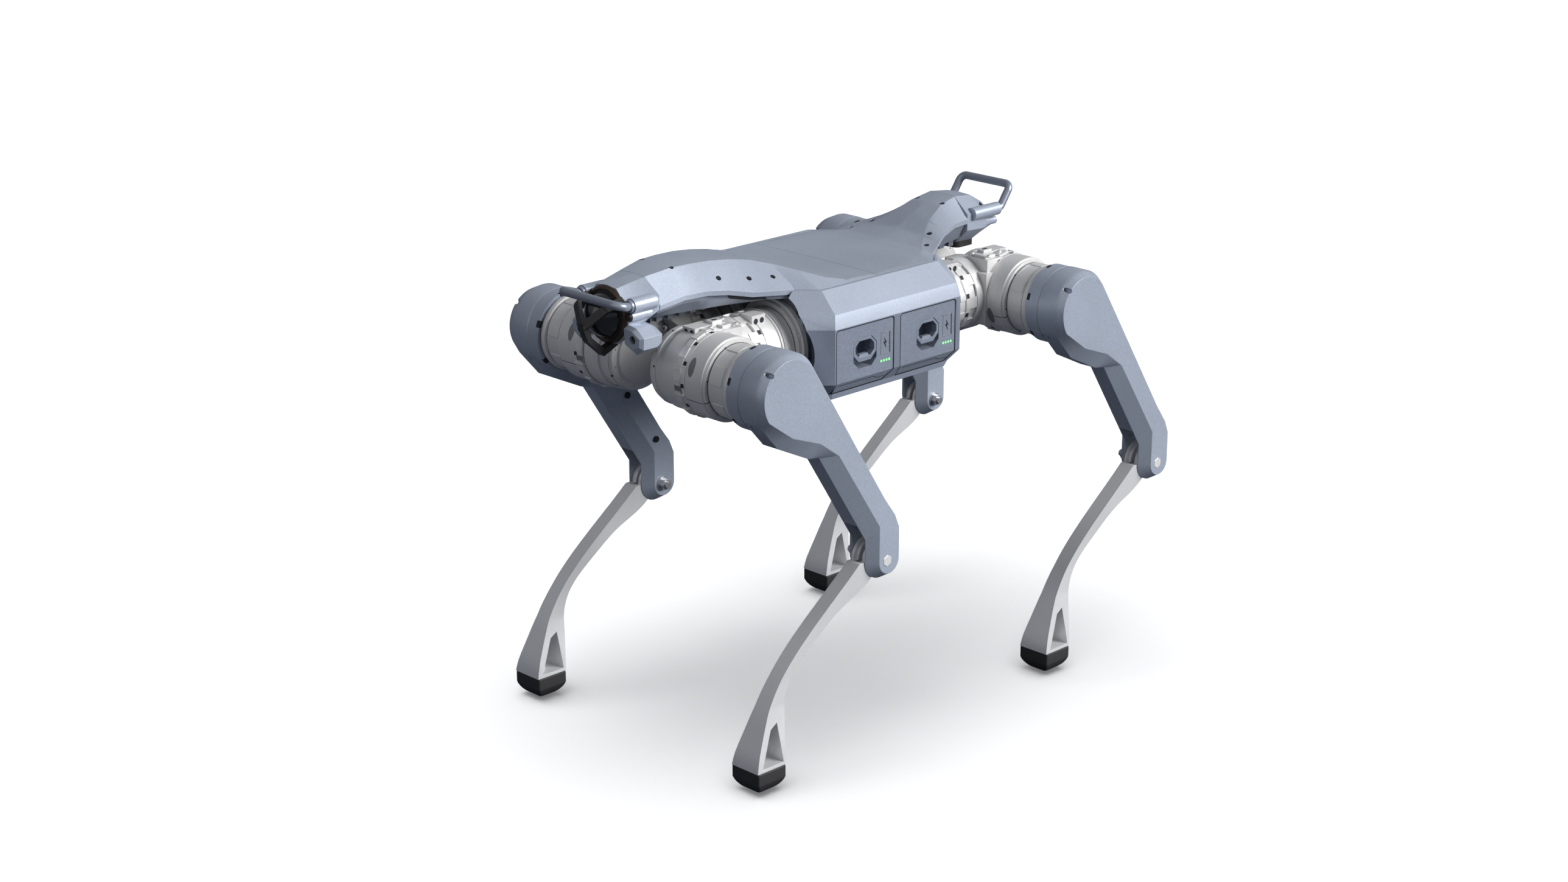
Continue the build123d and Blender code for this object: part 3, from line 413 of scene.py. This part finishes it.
for corner in CORNERS:
    body = "hip_" + corner
    dark, light, shade = Kit(), Kit(), Kit()
    # square windows in the toothed band, and a grey patch of painted shade for a larger recess below the
    # middle
    for i in range(12):
        dark.drum_patch("y", (0, 0), (92.2, 97.2), 30 * i - 4, 5.5, BAND - 3, BAND + 0.25)
        light.drum_patch("y", (0, 0), (82.5, 91.0), 30 * i - 4, 13, BAND - 2, BAND + 0.9)
    shade.drum_patch("y", (0, 0), (82.0, 92.5), -10, 10, BAND - 2, BAND + 1.1)
    light.drum_patch("y", (0, 0), (81.4, 97.8), -17.4, 3.2, BAND - 2, BAND + 2.6)
    # oval recess, drawn as a raised grey patch of painted shade, and split line of the clamped drum
    for turn in (24, 204):
        shade.drum_patch("y", (0, 0), (101.5, 111.5), turn, 27, DRUM, DRUM + 1.42, steps=20, oval=True)
    for turn in (-22.6, 202.6):
        dark.drum_patch("y", (0, 0), (98.8, 125.6), turn, 1.0, DRUM - 1, DRUM + 1.3)
        dark.drum_patch("y", (0, 0), (125.6, 130.3), turn, 1.0, NECK - 1, DRUM - 0.6)
    # shallow rectangular pads on the neck, and the collar by the thigh
    for turn in (-38, 22, 82, 142, 202, 262):
        light.drum_patch("y", (0, 0), (134.5, 153.5), turn, 30, NECK - 2, NECK + 1.0, steps=10)
    light.hoop((0, 0, 0), (0, 1, 0), [(156.5, NECK - 1), (157.5, NECK + 2.4), (161, NECK + 3.2),
                                      (164.2, NECK + 2.2), (164.2, NECK - 1)])
    # grooves between the drums
    for y, radius in ((81.4, DRUM + 0.35), (98.2, DRUM + 1.0), (131.2, NECK + 0.6), (155.6, NECK + 0.3)):
        dark.hoop((0, 0, 0), (0, 1, 0), band(y - GROOVE, y + GROOVE, radius - 3, radius))
    # flange screws by the neck, and small screws and notches at the drum's end by the trunk
    for turn in range(10, 370, 60):
        dark.turned(on_ring(FLANGE_SCREWS, 131.0, turn), (0, 1, 0),
                    [(-1, 1.2), (0.2, 1.2)], 12)
        dark.turned(on_ring(INNER_SCREWS, 39.4, turn + 22), (0, 1, 0),
                    [(-0.4, 1.4), (1.0, 1.4)], 12)
        dark.drum_patch("y", (0, 0), (41.0, 43.2), turn, 2.6, 46, 48.75)
    # connector block with a slot on top of the cradle, and bolts beside the lug
    light.box((-33, -12), (64, 79), (50, 53.8))
    light.box((-30, -14), (66, 77), (53.8, 57.4))
    dark.box((-26, -18), (69.5, 73.5), (57.0, 57.7))
    light.box((-12, 6), (77, 88), (49, 53))
    for x, y in ((-38, 92), (-6, 82.5), (-40, 66)):
        screw_head(light, dark, (x, y, 52.5), (0, 0, 1), 3.0)
    # painted shade: black plugs fill the lug's two forward holes
    for y in (61.5, 71.5):
        dark.turned((13.3, y, 48.0), (1, 0, 0), [(-9, 3.45), (0, 3.45)], 24)
    # cradle: bolt heads towards the trunk
    for y, z in ((24, 26), (24, -26), (94, 26), (94, -26)):
        screw_head(light, dark, (-31.5, y, z), (1, 0, 0), 3.2)
    light.piece("motor_pads_" + corner, body, "cast_silver", bevel=0.35, corner=corner)
    dark.piece("motor_gaps_" + corner, body, "black_screw", GAP_BLACK, corner=corner)
    # grey patches of painted shade in the recesses of the motor drum
    shade.piece("motor_recess_shade_" + corner, body, "frame_grey", RIM_GREY_AND_RECESS_SHADE, corner=corner)

# ---------------------------------------------------------------- hip motors on the trunk
for corner, (end, side) in CORNERS.items():
    dark, light = Kit(), Kit()
    centre = (side * HIP_Y, HIP_Z)

    def at(distance):
        return MID_X + end * distance

    for i in range(12):
        dark.drum_patch("x", centre, sorted((at(178), at(183.5))), 30 * i + 12, 7, 45, 49.0)
        light.drum_patch("x", centre, sorted((at(166), at(176.3))), 30 * i + 12, 12, 46, 49.3)
    for distance, radius in ((148.0, 48.2), (176.6, 48.95), (131.6, 48.3)):
        span = sorted((at(distance), at(distance + 0.8)))
        dark.hoop((0, *centre), (1, 0, 0), band(*span, radius - 3, radius))
    span = sorted((at(150.5), at(153.5)))
    light.hoop((0, *centre), (1, 0, 0), band(*span, 46, 49.6))
    for i in range(8):
        turn = radians(45 * i + 22)
        y, z = centre[0] + 53.0 * cos(turn), centre[1] + 53.0 * sin(turn)
        if abs(y) < 4:
            continue
        screw_head(light, dark, (at(126.8), y, z), (end, 0, 0), 2.2)
    # painted shade: black plugs fill two sideways holes at the top of the drum
    for distance in (167.5, 177.5):
        dark.turned((at(distance), side * (HIP_Y + 26.3), HIP_Z + 43.5), (0, side, 0),
                    [(-9, 3.45), (0, 3.45)], 24)
    light.piece("hip_pads_" + corner, "trunk", "cast_silver", bevel=0.35)
    dark.piece("hip_gaps_" + corner, "trunk", "black_screw", GAP_BLACK)

# ---------------------------------------------------------------- batteries
BAYS = {"front": MID_X + 59.2, "rear": MID_X - 53.0}
PACK_FACE = SIDE_Y - 0.7
BEVEL_Z, SILL_DROP, SILL_LEAN = 453.0, 14.0, 8.7


def side_skin_y(z):
    """The casing's side face, which leans in below its bevel."""
    return SIDE_Y - max(0.0, BEVEL_Z - z) * SILL_LEAN / SILL_DROP


for bay, centre in BAYS.items():
    body = "battery_" + bay
    outline, bolt, lights, groove = Kit(), Kit(), Kit(), Kit()
    mark_x = centre - 36.0
    # raised rim of the charge mark and its generic lightning flash
    for x0, x1, z0, z1 in ((-8.5, 8.5, 501.6, 502.4), (-8.5, 8.5, 474.8, 475.6), (-8.5, -7.7, 474.8, 502.4),
                           (7.7, 8.5, 474.8, 502.4)):
        outline.box((mark_x + x0, mark_x + x1), (PACK_FACE - 1, PACK_FACE + 0.25), (z0, z1))
    flash = [(1.8, 496.0), (-3.2, 488.4), (-0.4, 488.4), (-1.8, 481.5), (3.2, 490.0), (0.4, 490.0)]
    bolt.slab([(mark_x + x, PACK_FACE - 1, z) for x, z in flash], (0, 0.6, 0))
    for i in range(4):
        lights.turned((mark_x - 7.0 + 4.7 * i, PACK_FACE - 1.2, 466.5), (0, 1, 0),
                      [(0, 1.45), (1.2, 1.45), (1.5, 1.1)], 20)
    # fine groove with a step along the leaning lower edge
    step = [(centre + 44, 449.6), (centre - 18, 449.6), (centre - 26, 445.6), (centre - 40, 445.6)]
    for (xa, za), (xb, zb) in zip(step, step[1:]):
        ends = [(xa, za), (xb, zb), (xb, zb - 0.9), (xa, za - 0.9)]
        groove.slab([(x, side_skin_y(z) - 0.58, z) for x, z in ends], (0, -1.2, 0))
    # black gap all round the pack
    gap = Kit()
    x0, x1 = centre - 51.0, centre + 51.0
    corners = [(x0, 452.0), (x0 + 13, 439.4), (x1, 439.4), (x1, 453.0), (x1, 517.3), (x1 - 3, 520.3),
               (x0 + 3, 520.3), (x0, 517.3), (x0, 453.0)]
    for (xa, za), (xb, zb) in zip(corners, corners[1:] + corners[:1]):
        run = Vector((xb - xa, 0, zb - za)).normalized()
        inward = Vector((-run.z, 0, run.x)) * 1.3
        ends = [(xa, za), (xb, zb), (xb + inward.x, zb + inward.z), (xa + inward.x, za + inward.z)]
        gap.slab([(x, side_skin_y(z) - 0.05, z) for x, z in ends], (0, -2.0, 0))
    gap.piece("pack_gap_" + bay, "trunk", "black_screw", GAP_BLACK)
    outline.piece("charge_rim_" + bay, body, "battery_slate", RIM_GREY_AND_RECESS_SHADE, bevel=0.15)
    bolt.piece("charge_flash_" + bay, body, "black_screw", GAP_BLACK)
    lights.piece("charge_lights_" + bay, body, "black_window", CHARGE_GREEN, bevel=0.2)
    groove.piece("pack_groove_" + bay, body, "black_screw", GAP_BLACK)

# ---------------------------------------------------------------- vents in the front under cover
vents = Kit()
for side in (1, -1):
    low = [(MID_X + 158, 76.6, 555.6), (MID_X + 180, 69.2, 557.6), (MID_X + 206, 61.6, 563.0)]
    high = [(MID_X + 162, 76.2, 560.4), (MID_X + 180, 70.4, 562.6), (MID_X + 210, 61.6, 568.8)]
    rim = [(x, side * (y + 0.1), z) for x, y, z in low + high[::-1]]
    vents.slab(rim, (0, side * 0.5, 0))
vents.piece("front_vents", "trunk", "black_plastic", GAP_BLACK)

# ---------------------------------------------------------------- nose
NOSE = MID_X + 345.0
LIDAR_Z = 559.0
ring, collars, dark = Kit(), Kit(), Kit()
ring.hoop((NOSE, 0, LIDAR_Z), (1, 0, 0),
          [(0, 29.2), (3.4, 29.2), (4.4, 30.6), (4.0, 33.4), (1.6, 35.4), (0, 35.4)], 64)
dark.hoop((NOSE, 0, LIDAR_Z), (1, 0, 0), [(3.0, 26.2), (4.6, 26.6), (4.6, 28.6), (3.0, 29.4)], 64)
for turn in range(20, 380, 60):
    a = radians(turn)
    dark.turned((NOSE + 3.9, 32.2 * cos(a), LIDAR_Z + 32.2 * sin(a)), (1, 0, 0), [(-1, 1.1), (0.5, 1.1)], 12)
for side in (1, -1):
    # bolts of the guard at the nose ring
    dark.turned((NOSE - 5, side * 40.0, 563.5), (1, 0, 0), [(0, 5.2), (7.5, 5.2), (9.0, 4.0)], 24)
    ring.turned((NOSE + 3.6, side * 40.0, 563.5), (1, 0, 0), [(0, 2.6), (1.2, 2.6)], 6)
    # collars where the handle enters its sockets
    collars.hoop((NOSE - 2, side * 43.0, 577.0), (1, 0, 0),
                 [(0, 5.7), (0, 7.6), (6.5, 7.6), (7.5, 6.6), (7.5, 5.7)], 32)
ring.piece("nose_ring", "trunk", "black_plastic", RING_BRONZE, bevel=0.3)
dark.piece("nose_gaps", "trunk", "black_plastic")
collars.piece("handle_collars", "trunk", "tube_grey", bevel=0.4)

# ---------------------------------------------------------------- thighs and knees
SPAN = 290.0
THIGH_LEAN = radians(33.7)
KNEE = (-SPAN * sin(THIGH_LEAN), -SPAN * cos(THIGH_LEAN))
for corner in CORNERS:
    body = "thigh_" + corner
    dark, cap, screws = Kit(), Kit(), Kit()
    # seam between the shell's two halves round the housing
    dark.hoop((0, 0, 0), (0, 1, 0), band(SEAM_Y - GROOVE, SEAM_Y + GROOVE, 46, 50.9), 96)
    # notches round the hub
    for i in range(6):
        dark.drum_patch("y", (0, 0), (167.2, 171.5), 60 * i + 20, 9, 47, 50.6)
    # hexagon plug in the outer cheek of the knee
    cap.turned((KNEE[0], 223.6, KNEE[1]), (0, 1, 0), [(0, 7.6), (2.6, 7.6), (3.1, 7.0)], 6, phase=radians(12))
    # screw in the recess above the raised face, its hexagon socket a black disc of painted shade
    cap.turned((34.0, 214.2, 32.0), (0, 1, 0), [(0, 2.9), (1.4, 2.9), (1.9, 2.2)], 20)
    dark.turned((34.0, 216.0, 32.0), (0, 1, 0), [(0, 1.3), (0.4, 1.3)], 6)
    # screws along the inner face
    for x, z in ((-62, -55), (-102, -108), (-150, -178), (0, 30)):
        screws.turned((x, 174.2, z), (0, -1, 0), [(-2.2, 4.3), (0.4, 4.3), (0.7, 3.9)], 24)
    cap.piece("knee_cap_" + corner, body, "cast_silver", bevel=0.3, corner=corner, turns_round=False)
    dark.piece("thigh_gaps_" + corner, body, "black_screw", GAP_BLACK, corner=corner, turns_round=False)
    screws.piece("thigh_screws_" + corner, body, "black_screw", corner=corner, turns_round=False)


# ---------------------------------------------------------------- studio
FLOOR_SEEN = (0.93, 0.93, 0.93, 1)
FLOOR_AS_REFLECTOR = (0.06, 0.068, 0.09, 1)
FLOOR_LIFT = 0.13
# azimuth, elevation, spread, strength, and whether the floor is left out or the only thing lit
LAMPS = {
    "key": (118, 28, 36, 4.6, "EXCLUDE"),
    "front": (5, 20, 70, 0.45, "EXCLUDE"),
    "overhead": (0, 86, 65, 2.75, "INCLUDE"),
}
# the camera solved from the photograph, in degrees, metres and millimetres of lens
CAMERA_AZIMUTH, CAMERA_ELEVATION, CAMERA_ROLL = 44.796, 18.219, 0.057
CAMERA_TARGET, CAMERA_DISTANCE = (0.085883, 0.0, 0.335254), 3.50699
CAMERA_LENS, CAMERA_SENSOR = 63.70, 36


def make_floor():
    """Pale floor that stays bright to the eye but throws little light back up."""
    mesh = bpy.data.meshes.new("floor")
    reach = 60.0
    mesh.from_pydata([(-reach, -reach, 0), (reach, -reach, 0), (reach, reach, 0), (-reach, reach, 0)],
                     [], [(0, 1, 2, 3)])
    floor = bpy.data.objects.new("floor", mesh)
    bpy.context.scene.collection.objects.link(floor)
    material, tree, shader = new_material("pale_floor")
    path = tree.nodes.new("ShaderNodeLightPath")
    mix = tree.nodes.new("ShaderNodeMix")
    mix.data_type = "RGBA"
    mix.inputs[6].default_value = FLOOR_AS_REFLECTOR
    mix.inputs[7].default_value = FLOOR_SEEN
    tree.links.new(path.outputs["Is Camera Ray"], mix.inputs[0])
    tree.links.new(mix.outputs[2], shader.inputs["Base Color"])
    lift = tree.nodes.new("ShaderNodeMath")
    lift.operation = "MULTIPLY"
    lift.inputs[1].default_value = FLOOR_LIFT
    tree.links.new(path.outputs["Is Camera Ray"], lift.inputs[0])
    tree.links.new(lift.outputs[0], shader.inputs["Emission Strength"])
    shader.inputs["Emission Color"].default_value = (1, 1, 1, 1)
    shader.inputs["Roughness"].default_value = 0.95
    shader.inputs["Specular IOR Level"].default_value = 0.0
    mesh.materials.append(material)
    return floor


def make_sky():
    """Soft room: bright round the horizon, dimmer overhead."""
    world = bpy.data.worlds.new("studio")
    bpy.context.scene.world = world
    world.use_nodes = True
    tree = world.node_tree
    background = tree.nodes["Background"]
    place = tree.nodes.new("ShaderNodeTexCoord").outputs["Generated"]
    split = tree.nodes.new("ShaderNodeSeparateXYZ")
    tree.links.new(place, split.inputs[0])
    ramp = tree.nodes.new("ShaderNodeValToRGB")
    steps = ramp.color_ramp.elements
    steps[0].position, steps[0].color = 0.0, (0.17, 0.18, 0.21, 1)
    steps[1].position, steps[1].color = 1.0, (0.20, 0.205, 0.22, 1)
    middle = steps.new(0.4)
    middle.color = (0.24, 0.25, 0.275, 1)
    tree.links.new(split.outputs["Z"], ramp.inputs["Fac"])
    path = tree.nodes.new("ShaderNodeLightPath")
    mix = tree.nodes.new("ShaderNodeMix")
    mix.data_type = "RGBA"
    mix.inputs[7].default_value = (1, 1, 1, 1)
    tree.links.new(path.outputs["Is Camera Ray"], mix.inputs[0])
    tree.links.new(ramp.outputs["Color"], mix.inputs[6])
    tree.links.new(mix.outputs[2], background.inputs["Color"])


def soft_sun(name, azimuth, elevation, spread, strength):
    """Distant light with a wide disc; azimuth 0 is +X, 90 is +Y."""
    light = bpy.data.lights.new(name, "SUN")
    light.angle = radians(spread)
    light.energy = strength
    lamp = bpy.data.objects.new(name, light)
    bpy.context.scene.collection.objects.link(lamp)
    a, e = radians(azimuth), radians(elevation)
    direction = Vector((cos(a) * cos(e), sin(a) * cos(e), sin(e)))
    lamp.location = direction * 4
    lamp.rotation_euler = direction.to_track_quat("Z", "Y").to_euler()
    return lamp


def link_light(lamp, thing, state):
    """Say whether the light falls on that object alone, or on all but it."""
    receivers = bpy.data.collections.new(lamp.name + "_receivers")
    receivers.objects.link(thing)
    lamp.light_linking.receiver_collection = receivers
    receivers.collection_objects[0].light_linking.link_state = state


def make_camera():
    """Camera at the photograph's viewing angle; azimuth 0 looks from +Y, 90 from +X."""
    azimuth, elevation = radians(CAMERA_AZIMUTH), radians(CAMERA_ELEVATION)
    target = Vector(CAMERA_TARGET)
    back = Vector((sin(azimuth) * cos(elevation), cos(azimuth) * cos(elevation), sin(elevation)))
    lens = bpy.data.cameras.new("camera")
    lens.sensor_width = CAMERA_SENSOR
    lens.lens = CAMERA_LENS
    camera = bpy.data.objects.new("camera", lens)
    bpy.context.scene.collection.objects.link(camera)
    camera.location = target + back * CAMERA_DISTANCE
    camera.rotation_mode = "QUATERNION"
    level = (-back).to_track_quat("-Z", "Y")
    camera.rotation_quaternion = level @ Quaternion((0, 0, 1), radians(CAMERA_ROLL))
    bpy.context.scene.camera = camera


floor = make_floor()
make_sky()
for lamp_name, (*aim, spread, strength, state) in LAMPS.items():
    link_light(soft_sun(lamp_name, *aim, spread, strength), floor, state)
make_camera()
bpy.context.scene.view_settings.view_transform = "Standard"
